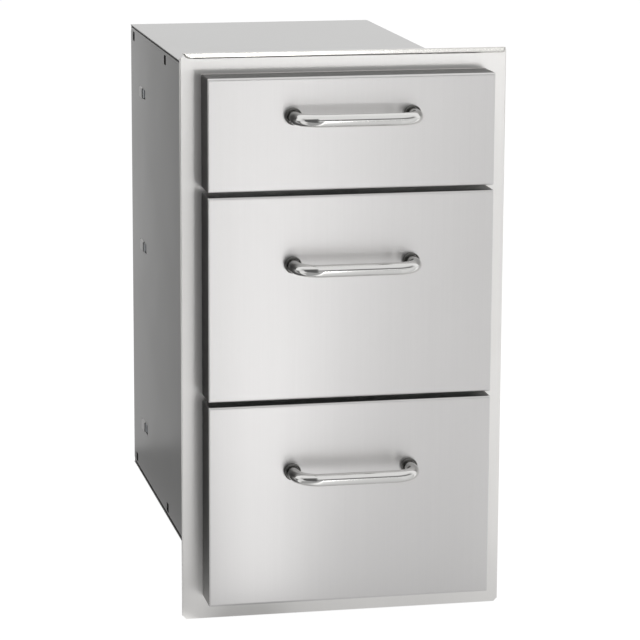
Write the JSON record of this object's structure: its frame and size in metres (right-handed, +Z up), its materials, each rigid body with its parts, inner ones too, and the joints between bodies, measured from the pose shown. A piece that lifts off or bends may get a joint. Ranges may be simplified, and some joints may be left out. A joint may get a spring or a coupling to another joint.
{
  "type": "outdoor kitchen drawer unit",
  "caption": "Built-in stainless outdoor kitchen drawer unit: a face frame with a sheet-metal box behind it and drawers with bow handles on telescopic ball-bearing slides.",
  "frame": {"origin": "on the rear face of the face frame, halfway across, in the middle of the folded strip along its foot", "axes": "+X to the right of someone who stands in front of it, +Y into the cut-out, away from them, +Z up; the drawers open towards -Y"},
  "size_m": [0.368, 0.668, 0.642],
  "materials": {
    "frame_steel": "brushed stainless, grain upright on the stiles",
    "front_steel": "brushed stainless, fine upright grain",
    "box_steel": "dull mill-finish stainless sheet",
    "tray_steel": "satin stainless sheet",
    "handle_steel": "polished stainless",
    "slide_steel": "bright zinc plate",
    "cage_steel": "plain rolled strip",
    "ball_steel": "polished bearing steel",
    "screw_steel": "bright stainless fasteners",
    "bumper_rubber": "matt black rubber"
  },
  "bodies": {
    "cabinet": {"face_frame": "frame_steel", "left_side_panel": "box_steel", "right_side_panel": "box_steel", "top_panel": "box_steel", "bottom_panel": "box_steel", "back_panel": "box_steel", "lower_divider_rail": "box_steel", "upper_divider_rail": "box_steel", "bottom_left_cabinet_member": "slide_steel", "bottom_right_cabinet_member": "slide_steel", "middle_left_cabinet_member": "slide_steel", "middle_right_cabinet_member": "slide_steel", "top_left_cabinet_member": "slide_steel", "top_right_cabinet_member": "slide_steel"},
    "bottom_drawer": {"bottom_front_skin": "front_steel", "bottom_front_liner": "box_steel", "bottom_tray": "tray_steel", "bottom_tray_back": "tray_steel", "bottom_handle": "handle_steel", "bottom_left_collar": "handle_steel", "bottom_right_collar": "handle_steel", "bottom_left_drawer_member": "slide_steel", "bottom_right_drawer_member": "slide_steel"},
    "bottom_intermediates": {"bottom_left_intermediate_member": "slide_steel", "bottom_right_intermediate_member": "slide_steel"},
    "bottom_outer_cages": {"bottom_left_outer_ball_cage": "cage_steel", "bottom_right_outer_ball_cage": "cage_steel"},
    "bottom_inner_cages": {"bottom_left_inner_ball_cage": "cage_steel", "bottom_right_inner_ball_cage": "cage_steel"},
    "middle_drawer": {"middle_front_skin": "front_steel", "middle_front_liner": "box_steel", "middle_tray": "tray_steel", "middle_tray_back": "tray_steel", "middle_handle": "handle_steel", "middle_left_collar": "handle_steel", "middle_right_collar": "handle_steel", "middle_left_drawer_member": "slide_steel", "middle_right_drawer_member": "slide_steel"},
    "middle_intermediates": {"middle_left_intermediate_member": "slide_steel", "middle_right_intermediate_member": "slide_steel"},
    "middle_outer_cages": {"middle_left_outer_ball_cage": "cage_steel", "middle_right_outer_ball_cage": "cage_steel"},
    "middle_inner_cages": {"middle_left_inner_ball_cage": "cage_steel", "middle_right_inner_ball_cage": "cage_steel"},
    "top_drawer": {"top_front_skin": "front_steel", "top_front_liner": "box_steel", "top_tray": "tray_steel", "top_tray_back": "tray_steel", "top_handle": "handle_steel", "top_left_collar": "handle_steel", "top_right_collar": "handle_steel", "top_left_drawer_member": "slide_steel", "top_right_drawer_member": "slide_steel"},
    "top_intermediates": {"top_left_intermediate_member": "slide_steel", "top_right_intermediate_member": "slide_steel"},
    "top_outer_cages": {"top_left_outer_ball_cage": "cage_steel", "top_right_outer_ball_cage": "cage_steel"},
    "top_inner_cages": {"top_left_inner_ball_cage": "cage_steel", "top_right_inner_ball_cage": "cage_steel"}
  },
  "joints": [
    {"name": "bottom_drawer_slide", "type": "slide", "parent": "cabinet", "child": "bottom_drawer", "axis": [0, -1, 0], "range_m": [0, 0.48]},
    {"name": "bottom_intermediates_slide", "type": "slide", "parent": "cabinet", "child": "bottom_intermediates", "axis": [0, -1, 0], "range_m": [0, 0.24]},
    {"name": "bottom_outer_cages_slide", "type": "slide", "parent": "cabinet", "child": "bottom_outer_cages", "axis": [0, -1, 0], "range_m": [0, 0.12]},
    {"name": "bottom_inner_cages_slide", "type": "slide", "parent": "cabinet", "child": "bottom_inner_cages", "axis": [0, -1, 0], "range_m": [0, 0.36]},
    {"name": "middle_drawer_slide", "type": "slide", "parent": "cabinet", "child": "middle_drawer", "axis": [0, -1, 0], "range_m": [0, 0.48]},
    {"name": "middle_intermediates_slide", "type": "slide", "parent": "cabinet", "child": "middle_intermediates", "axis": [0, -1, 0], "range_m": [0, 0.24]},
    {"name": "middle_outer_cages_slide", "type": "slide", "parent": "cabinet", "child": "middle_outer_cages", "axis": [0, -1, 0], "range_m": [0, 0.12]},
    {"name": "middle_inner_cages_slide", "type": "slide", "parent": "cabinet", "child": "middle_inner_cages", "axis": [0, -1, 0], "range_m": [0, 0.36]},
    {"name": "top_drawer_slide", "type": "slide", "parent": "cabinet", "child": "top_drawer", "axis": [0, -1, 0], "range_m": [0, 0.48]},
    {"name": "top_intermediates_slide", "type": "slide", "parent": "cabinet", "child": "top_intermediates", "axis": [0, -1, 0], "range_m": [0, 0.24]},
    {"name": "top_outer_cages_slide", "type": "slide", "parent": "cabinet", "child": "top_outer_cages", "axis": [0, -1, 0], "range_m": [0, 0.12]},
    {"name": "top_inner_cages_slide", "type": "slide", "parent": "cabinet", "child": "top_inner_cages", "axis": [0, -1, 0], "range_m": [0, 0.36]}
  ],
  "couplings": [
    {"joint": "bottom_intermediates_slide", "follows": "bottom_drawer_slide", "ratio": 0.5},
    {"joint": "bottom_outer_cages_slide", "follows": "bottom_drawer_slide", "ratio": 0.25},
    {"joint": "bottom_inner_cages_slide", "follows": "bottom_drawer_slide", "ratio": 0.75},
    {"joint": "middle_intermediates_slide", "follows": "middle_drawer_slide", "ratio": 0.5},
    {"joint": "middle_outer_cages_slide", "follows": "middle_drawer_slide", "ratio": 0.25},
    {"joint": "middle_inner_cages_slide", "follows": "middle_drawer_slide", "ratio": 0.75},
    {"joint": "top_intermediates_slide", "follows": "top_drawer_slide", "ratio": 0.5},
    {"joint": "top_outer_cages_slide", "follows": "top_drawer_slide", "ratio": 0.25},
    {"joint": "top_inner_cages_slide", "follows": "top_drawer_slide", "ratio": 0.75}
  ]
}
